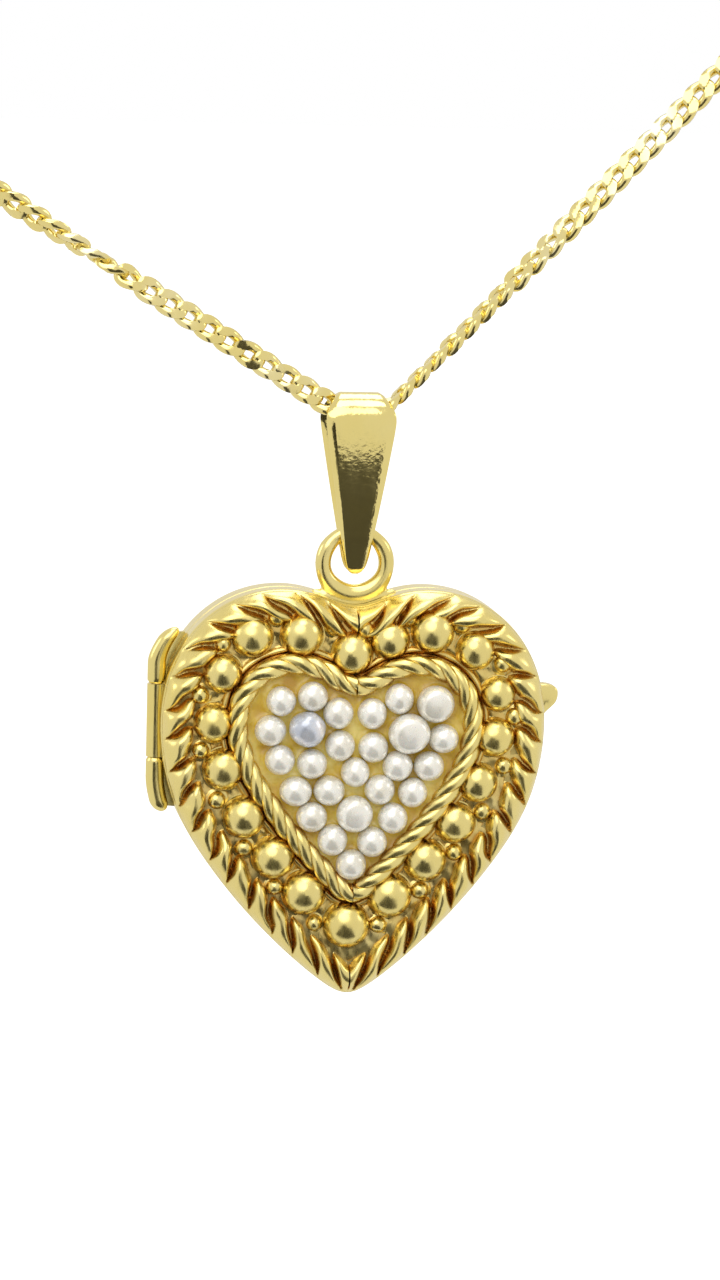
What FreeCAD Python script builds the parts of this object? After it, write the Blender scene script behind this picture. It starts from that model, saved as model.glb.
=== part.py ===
"""Heart-shaped pearl locket on a curb chain, hanging as it is worn.

Millimetres, +Z up, +X to the viewer's right, and the decorated front faces -Y. Everything is
modelled about the middle of the heart's widest line, and lowered at the end, so that the origin
is the point midway between the two held ends of the chain.
"""
import FreeCAD, Part

import math
import os

V = FreeCAD.Vector
ALONG_X = V(1, 0, 0)
ALONG_Y = V(0, 1, 0)
ALONG_Z = V(0, 0, 1)

# Where the chain is held, above the heart's widest line.
HOLD_HEIGHT = 34.0

# The heart's edge, right half, from the notch round to the tip: x, z.
BODY_HALF = [
    (0.0, 6.9), (1.9, 7.45), (4.0, 7.8), (6.3, 7.35), (8.3, 6.05), (9.7, 4.1), (10.35, 1.9),
    (10.4, -0.6), (9.55, -4.1), (7.8, -7.1), (5.3, -10.15), (2.7, -12.65), (1.3, -13.75),
    (0.5, -14.2), (0.0, -14.3),
]
# The middle of the twisted border that frames the pearls, right half.
ROPE_HALF = [
    (0.0, 2.7), (1.7, 3.45), (3.7, 3.85), (5.5, 3.0), (6.35, 1.2), (6.1, -1.0), (4.9, -3.3),
    (2.9, -5.9), (1.0, -7.95), (0.0, -8.6),
]

# Shells. Depths are distances from the seam, towards the front or the back.
SEAM = 0.02
WALL = 0.6
COVER_DEPTH = 1.7
COVER_CAVITY = 0.85
TRAY_FLOOR = 1.25
SHELL_WALL_DEPTH = 1.5
SHELL_DEPTH = 2.5
SHELL_CAVITY = 1.1
# The domed back, as insets from the edge and shares of its rise.
DOME_STEPS = [(0.01, 0.0), (0.3, 0.4), (1.2, 0.78), (2.6, 1.0)]

# How far a cutting block reaches past what it cuts, and a reach past the whole heart.
CUT_SPARE = 2.0
WHOLE_REACH = 20.0
# How finely an inset outline is measured, and the spans of the smooth curve put back through it.
CURVE_SAMPLES = 160
SPLINE_SPANS = 14

# Decoration on the cover.
LEAF_INSET = (0.15, 1.65)
LEAF_HEIGHT = 0.55
ROPE_WIDTH = 1.0
ROPE_HEIGHT = 0.95
BED_TOP = 1.95
PEARL_SINK = 0.42
SMALL_BEAD_RADIUS = 0.35
SMALL_BEAD_OUTWARD = 1.0
LARGE_BEADS = [
    (-0.25, 4.4, 1.05), (1.8, 5.15, 0.95), (4.1, 5.6, 1.05), (6.45, 4.6, 0.95), (7.75, 2.25, 0.85),
    (7.65, -0.1, 0.95), (6.8, -2.6, 0.95), (5.6, -4.8, 1.0), (4.0, -6.85, 1.05), (2.1, -8.8, 1.1),
    (-0.2, -10.4, 1.15), (-2.55, -8.65, 1.1), (-4.25, -6.7, 1.05), (-5.9, -4.5, 1.05),
    (-7.05, -1.9, 1.0), (-7.65, 0.6, 0.95), (-7.2, 3.3, 0.95), (-5.65, 5.3, 1.0), (-3.0, 5.4, 1.05),
]
SMALL_PEARLS = [
    (-4.1, 1.9), (-2.4, 2.15), (-1.0, 1.25), (0.85, 1.25), (2.3, 2.05),
    (-4.65, 0.3), (-0.85, -0.5), (0.95, -0.6), (4.75, -0.1),
    (-4.1, -1.3), (-2.35, -1.5), (0.0, -1.95), (2.3, -1.6), (4.0, -1.6),
    (-3.2, -3.0), (-1.4, -2.95), (1.35, -2.9), (3.15, -3.05),
    (-2.3, -4.4), (2.1, -4.45), (-1.15, -5.65), (1.0, -5.75), (-0.1, -7.0),
]
SMALL_PEARL_RADIUS = 0.78
LARGE_PEARLS = [(4.25, 1.8, 0.95), (2.85, 0.2, 1.05), (0.0, -4.2, 0.95)]
GREY_PEARL = (-2.65, 0.4, 0.92)

# Inside: two photo frames with clear windows, and the catch.
FIT_GAP = 0.02
FRAME_INSET = 2.4
FRAME_DEPTH = (0.06, 0.5)
WINDOW_DEPTH = (0.5, 0.7)
TONGUE_INSET = (0.66, 0.95)
TONGUE_Z = (1.2, 3.2)
TONGUE_REACH = 0.45
TONGUE_ROOT = 0.55
TONGUE_ROOM = 0.06

# Hinge on the left, with its pin along Z in the seam.
HINGE_X = -10.6
HINGE_BREAKS = (-4.5, -1.5, 2.5, 5.5)
KNUCKLE_RADIUS = 0.5
KNUCKLE_GAP = 0.04
BARREL_CHAMFER = 0.2
PLATE_START = 0.75
PLATE_SLOPE = 0.75
PLATE_WIDTH = 2.6
GROOVE_GAP = 0.06
PIN_RADIUS = 0.25
PIN_RUNNING = 0.03
PLATE_DEPTH = 0.45

# Thumb tab on the right edge of the back shell.
TAB_CENTRE = (10.75, 2.15)
TAB_RADIUS = 0.55
TAB_DEPTH = (0.15, 1.25)

# Ring at the notch, and the bail that it hangs from.
RING_Z = 9.1
RING_RADIUS = 1.72
RING_WIRE = 0.4
RING_FOOT = (1.5, 6.3, 7.55)
FOOT_GAP = 0.06
SWING_Z = RING_Z + RING_RADIUS
BAIL_SHEET = 0.3
BAIL_TOP = 18.35
BAIL_FOLD = 1.5
BAIL_SEAT = 0.6
BAIL_TIP = (8.95, 0.45)
BAIL_FRONT = [
    (-1.0, 18.4), (1.0, 18.4), (1.55, 17.6), (1.86, 17.0), (1.9, 16.3), (0.66, 9.3), (0.3, 8.5),
    (-0.3, 8.5), (-0.66, 9.3), (-1.9, 16.3), (-1.86, 17.0), (-1.55, 17.6),
]

# The chain's route, left end to right end, pulled into a V by the weight on the bail.
CHAIN_DIAMETER = 1.1
CHAIN_ROUTE = [
    (-21.4, 29.8), (-14.2, 25.3), (-6.8, 20.77), (-3.2, 18.6), (-1.35, 17.5), (0.0, 17.05),
    (1.4, 17.35), (3.0, 18.95), (6.0, 22.05), (11.0, 27.25), (16.3, 32.8), (21.1, 37.85),
]
ARC_SHARE = 0.45

# Spring-ring clasp on the chain's left end, drawn about its own middle with its eye towards -X.
CLASP_RADIUS = 2.1
CLASP_WIRE = 0.45
CLASP_BORE = 0.27
CLASP_GAP = (40.0, 90.0)
CHANNEL_END = 250.0
SOCKET_END = 28.0
BOLT_WIRE = 0.24
BOLT_SPAN = (30.0, 150.0)
BOLT_TRAVEL = 60.0
NIB_ANGLE = 100.0
NIB_RADIUS = 0.12
NIB_HEIGHT = 0.95
SLOT_MARGIN = 5.0
SLOT_PLAY = 0.03
SPRING_WIRE = 0.07
SPRING_COIL = 0.17
SPRING_TURNS = 12
EYE_RADIUS = 0.6
EYE_WIRE = 0.18
JUMP_RADIUS = 0.85
JUMP_WIRE = 0.2
JUMP_FROM_CHAIN = 0.75
LINK_PLAY = 0.03
EYE_SOLDER = 0.15

# Tag on the chain's right end, which the clasp hooks into.
TAG_THICKNESS = 0.5
TAG_SMALL_END = (0.3, 0.7)
TAG_LARGE_END = (2.4, 1.5)
TAG_HOLE = 0.9


def half_curve(points):
    """Smooth half of a heart that crosses the middle square to it, at the notch and at the tip."""
    curve = Part.BSplineCurve()
    curve.interpolate(
        Points=[V(x, 0, z) for x, z in points], InitialTangent=ALONG_X, FinalTangent=-ALONG_X
    )
    return curve


def inset_points(points, inset):
    """The right half moved inwards, from the notch to where it meets the middle."""
    curve = half_curve(points)
    moved = []
    for i in range(CURVE_SAMPLES + 1):
        share = i / CURVE_SAMPLES
        u = curve.FirstParameter + (curve.LastParameter - curve.FirstParameter) * share
        at = curve.value(u)
        along = curve.tangent(u)[0]
        new = V(at.x + inset * along.z, 0, at.z - inset * along.x)
        if moved and new.x <= 0:
            last = moved[-1]
            moved.append(last + (new - last) * (last.x / (last.x - new.x)))
            break
        moved.append(new)
    moved[0].x = 0.0
    moved[-1].x = 0.0
    return moved


def heart_wire(points, inset, depth):
    """A whole heart, inset from its edge, at a depth along Y."""
    if inset:
        dense = inset_points(points, inset)
        step = (len(dense) - 1) / SPLINE_SPANS
        kept = [dense[round(k * step)] for k in range(SPLINE_SPANS + 1)]
        right = Part.BSplineCurve()
        right.interpolate(Points=kept, InitialTangent=ALONG_X)
    else:
        right = half_curve(points)
    right_edge = right.toShape()
    left_edge = right_edge.mirror(V(0, 0, 0), ALONG_X)
    wire = Part.Wire(Part.__sortEdges__([right_edge, left_edge]))
    wire.translate(V(0, depth, 0))
    return wire


def heart_block(points, inset, near, far):
    """A heart-shaped block between two depths."""
    return Part.Face(heart_wire(points, inset, near)).extrude(V(0, far - near, 0))


def heart_ring(points, outer, inner, near, far):
    return heart_block(points, outer, near, far).cut(heart_block(points, inner, near, far))


def slab(low, high):
    """A box between two corners."""
    size = V(*high) - V(*low)
    return Part.makeBox(size.x, size.y, size.z, V(*low))


def torus_arc(radius, wire, start, end):
    """A bent rod about the Y axis, between two angles measured from +X towards +Z."""
    ring = Part.makeCircle(wire, V(radius, 0, 0), ALONG_Z)
    disc = Part.Face(Part.Wire(ring))
    disc.rotate(V(0, 0, 0), ALONG_Y, -start)
    return disc.revolve(V(0, 0, 0), -ALONG_Y, end - start)


def tangent_hull(first, first_radius, second, second_radius):
    """The outline round two circles in the plane at x = 0, each centred on the Z axis, as a face."""
    gap = first - second
    tilt = math.asin((first_radius - second_radius) / gap)
    side = V(0, math.cos(tilt), math.sin(tilt))
    other = V(0, -side.y, side.z)
    top, low = V(0, 0, first), V(0, 0, second)
    edges = [
        Part.Arc(top + side * first_radius, top + ALONG_Z * first_radius,
                 top + other * first_radius).toShape(),
        Part.LineSegment(top + other * first_radius, low + other * second_radius).toShape(),
        Part.Arc(low + other * second_radius, low - ALONG_Z * second_radius,
                 low + side * second_radius).toShape(),
        Part.LineSegment(low + side * second_radius, top + side * first_radius).toShape(),
    ]
    return Part.Face(Part.Wire(edges))


def chain_path():
    """The route's straight runs joined by tangent arcs, with the radii of its arcs."""
    points = [V(x, 0, z) for x, z in CHAIN_ROUTE]
    edges, radii = [], []
    start = points[0]
    for before, corner, after in zip(points, points[1:], points[2:]):
        back = (before - corner).normalize()
        ahead = (after - corner).normalize()
        turn = math.pi - back.getAngle(ahead)
        shorter = min((before - corner).Length, (after - corner).Length)
        reach = ARC_SHARE * shorter
        radius = reach / math.tan(turn / 2)
        bisector = (back + ahead).normalize()
        middle = corner + bisector * (radius / math.cos(turn / 2) - radius)
        edges.append(Part.LineSegment(start, corner + back * reach).toShape())
        edges.append(Part.Arc(corner + back * reach, middle, corner + ahead * reach).toShape())
        radii.append(radius)
        start = corner + ahead * reach
    edges.append(Part.LineSegment(start, points[-1]).toShape())
    return Part.Wire(edges), radii


def end_direction(end, neighbour):
    return (V(end[0], 0, end[1]) - V(neighbour[0], 0, neighbour[1])).normalize()


def make_chain():
    path, radii = chain_path()
    first = path.Edges[0]
    section = Part.Wire(Part.makeCircle(CHAIN_DIAMETER / 2, first.valueAt(first.FirstParameter),
                                        first.tangentAt(first.FirstParameter)))
    tube = path.makePipeShell([section], True, True)
    expected = math.pi * (CHAIN_DIAMETER / 2) ** 2 * path.Length
    print("chain: length %.2f mm, arc radii %s" % (path.Length, [round(r, 2) for r in radii]))
    print("chain: volume %.3f mm3 against section x length %.3f mm3" % (tube.Volume, expected))
    return tube


def make_front_cover():
    cover = heart_block(BODY_HALF, 0, -SEAM, -COVER_DEPTH)
    cover = cover.cut(heart_block(BODY_HALF, WALL, 0, -COVER_CAVITY))
    cover = cover.cut(heart_block(ROPE_HALF, ROPE_WIDTH / 2, -TRAY_FLOOR,
                                 -COVER_DEPTH - CUT_SPARE))
    half_width, low, high = RING_FOOT
    room = slab((-half_width - FOOT_GAP, -RING_WIRE - FOOT_GAP, low - FOOT_GAP),
                (half_width + FOOT_GAP, 0, high + CUT_SPARE))
    return cover.cut(room).cut(hinge_groove())


def make_back_shell():
    wall = heart_block(BODY_HALF, 0, SEAM, SHELL_WALL_DEPTH)
    rise = SHELL_DEPTH - SHELL_WALL_DEPTH
    sections = [
        heart_wire(BODY_HALF, inset, SHELL_WALL_DEPTH + share * rise)
        for inset, share in DOME_STEPS
    ]
    dome = Part.makeLoft(sections, True, False)
    shell = wall.fuse(dome).removeSplitter()
    shell = shell.cut(heart_block(BODY_HALF, WALL, 0, SHELL_CAVITY))
    return shell.cut(hinge_groove())


def hinge_groove():
    """Room for the barrel, cut out of both shells."""
    low, high = HINGE_BREAKS[0] - KNUCKLE_GAP, HINGE_BREAKS[-1] + KNUCKLE_GAP
    return Part.makeCylinder(KNUCKLE_RADIUS + GROOVE_GAP, high - low, V(HINGE_X, 0, low))


def make_knuckle(index, side, bore, shell):
    """A stretch of the hinge barrel with its plate, which lies against the shell on its side.

    The plates at the two ends of the hinge slope out to the heart's edge.
    """
    low = HINGE_BREAKS[index] + KNUCKLE_GAP / 2
    high = HINGE_BREAKS[index + 1] - KNUCKLE_GAP / 2
    barrel = Part.makeCylinder(KNUCKLE_RADIUS, high - low, V(HINGE_X, 0, low))
    ends = [e for e in barrel.Edges if isinstance(e.Curve, Part.Circle)]
    corners = [V(HINGE_X, 0, low), V(HINGE_X, 0, high)]
    inner = HINGE_X + PLATE_WIDTH
    slope = PLATE_WIDTH * PLATE_SLOPE
    if index == 0:
        lower = [e for e in ends if e.CenterOfMass.z < low + BARREL_CHAMFER]
        barrel = barrel.makeChamfer(BARREL_CHAMFER, lower)
        corners[0].z = low + PLATE_START
        corners += [V(inner, 0, high), V(inner, 0, low + PLATE_START - slope)]
    elif index == 2:
        upper = [e for e in ends if e.CenterOfMass.z > high - BARREL_CHAMFER]
        barrel = barrel.makeChamfer(BARREL_CHAMFER, upper)
        corners[1].z = high - PLATE_START
        corners += [V(inner, 0, high - PLATE_START + slope), V(inner, 0, low)]
    else:
        corners += [V(inner, 0, high), V(inner, 0, low)]
    plate = Part.Face(Part.makePolygon(corners + corners[:1]))
    plate.translate(V(0, side * SEAM, 0))
    plate = plate.extrude(V(0, side * (PLATE_DEPTH - SEAM), 0)).cut(shell)
    plate = plate.cut(heart_block(BODY_HALF, WALL, -SHELL_DEPTH, SHELL_DEPTH))
    nearest = min(plate.Solids, key=lambda s: s.BoundBox.XMin)
    knuckle = barrel.fuse(nearest).removeSplitter()
    return knuckle.cut(Part.makeCylinder(bore, high - low, V(HINGE_X, 0, low)))


def make_thumb_tab(shell):
    x, z = TAB_CENTRE
    near, far = TAB_DEPTH
    nub = Part.makeCylinder(TAB_RADIUS, far - near, V(x, near, z), ALONG_Y)
    stalk = slab((x - 2 * TAB_RADIUS, near, z - TAB_RADIUS), (x, far, z + TAB_RADIUS))
    outside = nub.fuse(stalk).removeSplitter().cut(shell)
    return max(outside.Solids, key=lambda s: s.BoundBox.XMax)


def make_hanging_ring(shell):
    ring = Part.makeTorus(RING_RADIUS, RING_WIRE, V(0, 0, RING_Z), ALONG_Y)
    half_width, low, high = RING_FOOT
    foot = slab((-half_width, -RING_WIRE, low), (half_width, RING_WIRE, high))
    hole = Part.makeCylinder(RING_RADIUS - RING_WIRE, 2 * CUT_SPARE, V(0, -CUT_SPARE, RING_Z), ALONG_Y)
    whole = ring.fuse(foot.cut(hole)).removeSplitter().cut(shell)
    whole = whole.cut(heart_block(BODY_HALF, WALL - FIT_GAP, -COVER_DEPTH, SHELL_DEPTH))
    return max(whole.Solids, key=lambda s: s.Volume)


def make_bail():
    fold_z = BAIL_TOP - BAIL_FOLD
    tip_z, tip_radius = BAIL_TIP
    seat_outer = BAIL_SEAT + BAIL_SHEET
    across = V(2 * CUT_SPARE, 0, 0)
    body = tangent_hull(fold_z, BAIL_FOLD, SWING_Z, seat_outer).extrude(across)
    tail = tangent_hull(SWING_Z, seat_outer, tip_z, tip_radius).extrude(across)
    room = tangent_hull(fold_z, BAIL_FOLD - BAIL_SHEET, SWING_Z, BAIL_SEAT).extrude(across)
    strap = body.fuse(tail).removeSplitter().cut(room)
    strap.translate(V(-CUT_SPARE, 0, 0))
    corners = [V(x, -CUT_SPARE, z) for x, z in BAIL_FRONT]
    front = Part.Face(Part.makePolygon(corners + corners[:1])).extrude(V(0, 2 * CUT_SPARE, 0))
    return strap.common(front)


def small_bead_places():
    """One small bead in each outer gap between neighbouring large beads."""
    middle = V(0, 0, sum(z for _, z, _ in LARGE_BEADS) / len(LARGE_BEADS))
    places = []
    for (x1, z1, _), (x2, z2, _) in zip(LARGE_BEADS, LARGE_BEADS[1:] + LARGE_BEADS[:1]):
        between = V((x1 + x2) / 2, 0, (z1 + z2) / 2)
        along = V(x2 - x1, 0, z2 - z1).normalize()
        outward = V(-along.z, 0, along.x)
        if outward.dot(between - middle) < 0:
            outward = -outward
        places.append(between + outward * SMALL_BEAD_OUTWARD)
    return places


def make_beads(places):
    """Domed beads that stand on the cover's face."""
    reach = WHOLE_REACH
    front = slab((-reach, -reach, -reach), (reach, -COVER_DEPTH, reach))
    return [Part.makeSphere(r, V(x, -COVER_DEPTH, z)).common(front) for x, z, r in places]


def make_pearl(x, z, radius):
    return Part.makeSphere(radius, V(x, PEARL_SINK - BED_TOP - radius, z))


def make_bed(pearls):
    bed = heart_block(ROPE_HALF, ROPE_WIDTH / 2 + FIT_GAP, -TRAY_FLOOR, -BED_TOP)
    for pearl in pearls:
        bed = bed.cut(pearl)
    return bed


def tongue_block(spare):
    """The catch's tongue, which follows the wall, or the room that it needs."""
    outer, inner = TONGUE_INSET
    outward = min(spare, outer - WALL - FIT_GAP)
    ring = heart_ring(BODY_HALF, outer - outward, inner + spare,
                      -TONGUE_ROOT - spare, TONGUE_REACH + spare)
    low, high = TONGUE_Z
    side = slab((0, -CUT_SPARE, low - spare), (WHOLE_REACH, CUT_SPARE, high + spare))
    return ring.common(side)


def make_frame(side):
    """A photo frame's ring, on the cover's side (-1) or the back shell's side (+1)."""
    near, far = FRAME_DEPTH
    frame = heart_ring(BODY_HALF, WALL + FIT_GAP, FRAME_INSET, side * near, side * far)
    return frame.cut(tongue_block(TONGUE_ROOM))


def make_window(side):
    near, far = WINDOW_DEPTH
    window = heart_block(BODY_HALF, WALL + FIT_GAP, side * near, side * far)
    return window.cut(tongue_block(TONGUE_ROOM))


def clasp_place():
    """Where the clasp's middle and the jump ring's middle are, with the chain's end direction."""
    end = CHAIN_ROUTE[0]
    along = end_direction(end, CHAIN_ROUTE[1])
    jump = V(end[0], 0, end[1]) + along * JUMP_FROM_CHAIN
    eye = jump + along * (JUMP_RADIUS + EYE_RADIUS - JUMP_WIRE - EYE_WIRE - LINK_PLAY)
    middle = eye + along * (EYE_RADIUS + EYE_WIRE + CLASP_RADIUS + CLASP_WIRE - EYE_SOLDER)
    return along, jump, middle


def on_clasp(shape):
    """Turns a shape that was drawn about the clasp's middle, and moves it onto the chain's end."""
    along, _, middle = clasp_place()
    shape.rotate(V(0, 0, 0), ALONG_Y, -math.degrees(math.atan2(along.z, along.x)))
    shape.translate(middle)
    return shape


def make_clasp_body():
    gap_start, gap_end = CLASP_GAP
    body = torus_arc(CLASP_RADIUS, CLASP_WIRE, gap_end, gap_start + 360)
    eye_x = -(EYE_RADIUS + EYE_WIRE + CLASP_RADIUS + CLASP_WIRE - EYE_SOLDER)
    body = body.fuse(Part.makeTorus(EYE_RADIUS, EYE_WIRE, V(eye_x, 0, 0), ALONG_Y))
    body = body.cut(torus_arc(CLASP_RADIUS, CLASP_BORE, gap_end, CHANNEL_END))
    body = body.cut(torus_arc(CLASP_RADIUS, CLASP_BORE, SOCKET_END, gap_start))
    half = NIB_RADIUS + SLOT_PLAY
    inner, outer = CLASP_RADIUS, CLASP_RADIUS + 2 * CLASP_WIRE
    corners = [V(inner, -half, 0), V(outer, -half, 0), V(outer, half, 0), V(inner, half, 0)]
    slot = Part.Face(Part.makePolygon(corners + corners[:1]))
    slot.rotate(V(0, 0, 0), ALONG_Y, SLOT_MARGIN - NIB_ANGLE)
    slot = slot.revolve(V(0, 0, 0), -ALONG_Y, BOLT_TRAVEL + 2 * SLOT_MARGIN)
    return on_clasp(body.cut(slot))


def make_clasp_bolt():
    start, end = BOLT_SPAN
    bolt = torus_arc(CLASP_RADIUS, BOLT_WIRE, start, end)
    nib = Part.makeCylinder(NIB_RADIUS, NIB_HEIGHT, V(CLASP_RADIUS, 0, 0), ALONG_X)
    knob = Part.makeSphere(NIB_RADIUS * 2, V(CLASP_RADIUS + NIB_HEIGHT, 0, 0))
    nib = nib.fuse(knob)
    nib.rotate(V(0, 0, 0), ALONG_Y, -NIB_ANGLE)
    return on_clasp(bolt.fuse(nib).removeSplitter())


def make_clasp_spring():
    """The coiled spring behind the bolt, as a bent tube of its outer diameter."""
    outer = torus_arc(CLASP_RADIUS, SPRING_COIL + SPRING_WIRE, BOLT_SPAN[1], CHANNEL_END)
    inner = torus_arc(CLASP_RADIUS, SPRING_COIL - SPRING_WIRE, BOLT_SPAN[1], CHANNEL_END)
    return on_clasp(outer.cut(inner))


def make_jump_ring():
    along, jump, _ = clasp_place()
    return Part.makeTorus(JUMP_RADIUS, JUMP_WIRE, jump, V(-along.z, 0, along.x))


def make_tag():
    end = CHAIN_ROUTE[-1]
    along = end_direction(end, CHAIN_ROUTE[-2])
    small, small_radius = TAG_SMALL_END
    large, large_radius = TAG_LARGE_END
    tag = tangent_hull(large, large_radius, small, small_radius).extrude(V(TAG_THICKNESS, 0, 0))
    tag.translate(V(-TAG_THICKNESS / 2, 0, 0))
    tag = tag.cut(Part.makeCylinder(TAG_HOLE, 2 * CUT_SPARE, V(-CUT_SPARE, 0, large), ALONG_X))
    tag.rotate(V(0, 0, 0), ALONG_Z, 90)
    tag.rotate(V(0, 0, 0), ALONG_Y, 90 - math.degrees(math.atan2(along.z, along.x)))
    tag.translate(V(end[0], 0, end[1]))
    return tag


def make_hinge(cover, shell):
    low, high = HINGE_BREAKS[0], HINGE_BREAKS[-1]
    return {
        "hinge_knuckle_bottom": make_knuckle(0, 1, PIN_RADIUS, shell),
        "hinge_knuckle_middle": make_knuckle(1, -1, PIN_RADIUS + PIN_RUNNING, cover),
        "hinge_knuckle_top": make_knuckle(2, 1, PIN_RADIUS, shell),
        "hinge_pin": Part.makeCylinder(PIN_RADIUS, high - low, V(HINGE_X, 0, low)),
    }


def make_nodes():
    cover = make_front_cover()
    shell = make_back_shell()
    small = [make_pearl(x, z, SMALL_PEARL_RADIUS) for x, z in SMALL_PEARLS]
    large = [make_pearl(*pearl) for pearl in LARGE_PEARLS]
    grey = make_pearl(*GREY_PEARL)
    large_beads = make_beads(LARGE_BEADS)
    small_beads = make_beads([(at.x, at.z, SMALL_BEAD_RADIUS) for at in small_bead_places()])
    leaves = heart_ring(BODY_HALF, *LEAF_INSET, -COVER_DEPTH, -COVER_DEPTH - LEAF_HEIGHT)
    rope = heart_ring(ROPE_HALF, -ROPE_WIDTH / 2, ROPE_WIDTH / 2, -COVER_DEPTH,
                      -COVER_DEPTH - ROPE_HEIGHT)
    for bead in large_beads + small_beads:
        leaves = leaves.cut(bead)
        rope = rope.cut(bead)
    nodes = {
        "chain": make_chain(),
        "chain_tag": make_tag(),
        "clasp_jump_ring": make_jump_ring(),
        "clasp_body": make_clasp_body(),
        "clasp_bolt": make_clasp_bolt(),
        "clasp_spring": make_clasp_spring(),
        "bail": make_bail(),
        "hanging_ring": make_hanging_ring(shell),
        "back_shell": shell,
        "thumb_tab": make_thumb_tab(shell),
        "back_photo_frame": make_frame(1),
        "back_window": make_window(1),
        "front_cover": cover,
        "front_photo_frame": make_frame(-1),
        "front_window": make_window(-1),
        "catch_tongue": tongue_block(0),
        "leaf_border": leaves,
        "large_beads": Part.makeCompound(large_beads),
        "small_beads": Part.makeCompound(small_beads),
        "rope_border": rope,
        "pearl_bed": make_bed(small + large + [grey]),
        "small_pearls": Part.makeCompound(small),
        "large_pearls": Part.makeCompound(large),
        "grey_pearl": grey,
    }
    nodes.update(make_hinge(cover, shell))
    return nodes


def main():
    os.makedirs("parts", exist_ok=True)
    for name, shape in make_nodes().items():
        if len(shape.Solids) == 1:
            shape = shape.Solids[0]
        shape.translate(V(0, 0, -HOLD_HEIGHT))
        shape.exportStep("parts/%s.step" % name)
        box = shape.BoundBox
        print("%-22s solids %2d valid %s volume %9.3f  x %.2f %.2f  y %.2f %.2f  z %.2f %.2f" % (
            name, len(shape.Solids), shape.isValid(), shape.Volume,
            box.XMin, box.XMax, box.YMin, box.YMax, box.ZMin, box.ZMax))


main()
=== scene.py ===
"""Looks of the heart locket on its curb chain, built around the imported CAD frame.

Shapes are worked out in millimetres about the middle of the heart's widest line, with +Z up and
the decorated front towards -Y, and they are put into the frame's metres by to_row().
"""
import math

import bmesh
import bpy
import numpy as np
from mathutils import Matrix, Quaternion, Vector, noise


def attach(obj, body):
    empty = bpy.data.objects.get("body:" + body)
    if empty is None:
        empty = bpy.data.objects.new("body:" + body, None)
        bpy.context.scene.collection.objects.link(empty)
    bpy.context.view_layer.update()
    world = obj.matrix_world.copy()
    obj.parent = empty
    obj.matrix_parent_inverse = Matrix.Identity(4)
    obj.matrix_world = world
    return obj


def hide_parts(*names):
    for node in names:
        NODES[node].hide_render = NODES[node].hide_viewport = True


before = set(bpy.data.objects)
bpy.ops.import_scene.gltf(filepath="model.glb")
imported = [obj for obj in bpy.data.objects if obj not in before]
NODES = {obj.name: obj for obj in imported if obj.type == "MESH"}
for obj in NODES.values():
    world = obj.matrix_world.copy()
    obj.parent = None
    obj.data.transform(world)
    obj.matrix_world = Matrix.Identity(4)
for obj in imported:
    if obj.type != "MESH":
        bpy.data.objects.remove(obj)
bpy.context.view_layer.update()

MM = 0.001
# Height of the frame's origin, where the chain is held, above the heart's middle.
HOLD_HEIGHT = 34.0
FRONT = np.array([0, -1.0, 0])


def to_row(points):
    """Millimetres about the heart's middle, as metres in the frame."""
    return (np.asarray(points, float) - (0, 0, HOLD_HEIGHT)) * MM


def from_row(point):
    """Metres in the frame, as millimetres about the heart's middle."""
    return np.asarray(point, float) / MM + (0, 0, HOLD_HEIGHT)


# ---------------------------------------------------------------- camera

CAMERA_AZIMUTH = math.radians(-8)
CAMERA_ELEVATION = math.radians(8)
CAMERA_ROLL = math.radians(1.5)
CAMERA_DISTANCE = 250.0
CAMERA_TARGET = (0.4, 0.0, 4.9)
SENSOR = 36.0
LENS = 130.0
NEAR_CLIP = 0.01


def make_camera():
    data = bpy.data.cameras.new("camera")
    data.lens = LENS
    data.sensor_width = SENSOR
    data.clip_start = NEAR_CLIP
    camera = bpy.data.objects.new("camera", data)
    bpy.context.scene.collection.objects.link(camera)
    bpy.context.scene.camera = camera
    back = Vector((
        math.sin(CAMERA_AZIMUTH) * math.cos(CAMERA_ELEVATION),
        -math.cos(CAMERA_AZIMUTH) * math.cos(CAMERA_ELEVATION),
        math.sin(CAMERA_ELEVATION),
    ))
    camera.location = Vector(to_row(CAMERA_TARGET)) + back * CAMERA_DISTANCE * MM
    facing = (-back).to_track_quat("-Z", "Y")
    camera.rotation_mode = "QUATERNION"
    camera.rotation_quaternion = Quaternion(back, CAMERA_ROLL) @ facing


make_camera()

# ---------------------------------------------------------------- mesh helpers

HARD_EDGE = math.radians(50)


def add_object(name, verts, faces, body, material):
    """A mesh piece from points in millimetres, on its body and with its finish."""
    mesh = bpy.data.meshes.new(name)
    mesh.from_pydata(to_row(verts).tolist(), [], [tuple(int(i) for i in f) for f in faces])
    mesh.validate()
    mesh.shade_smooth()
    piece = bpy.data.objects.new(name, mesh)
    bpy.context.scene.collection.objects.link(piece)
    mesh.materials.append(material)
    outward_faces(mesh)
    mesh.set_sharp_from_angle(angle=HARD_EDGE)
    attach(piece, body)
    return piece


def outward_faces(mesh):
    """Turns every face of a mesh outwards."""
    work = bmesh.new()
    work.from_mesh(mesh)
    bmesh.ops.recalc_face_normals(work, faces=work.faces)
    work.to_mesh(mesh)
    work.free()


def grid_faces(rows, columns, wrap_rows=False, wrap_columns=False):
    """Quads over a grid of points that were laid out row by row."""
    faces = []
    for i in range(rows if wrap_rows else rows - 1):
        for j in range(columns if wrap_columns else columns - 1):
            row, next_row = i * columns, (i + 1) % rows * columns
            following = (j + 1) % columns
            faces.append((row + j, row + following, next_row + following, next_row + j))
    return faces


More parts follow.
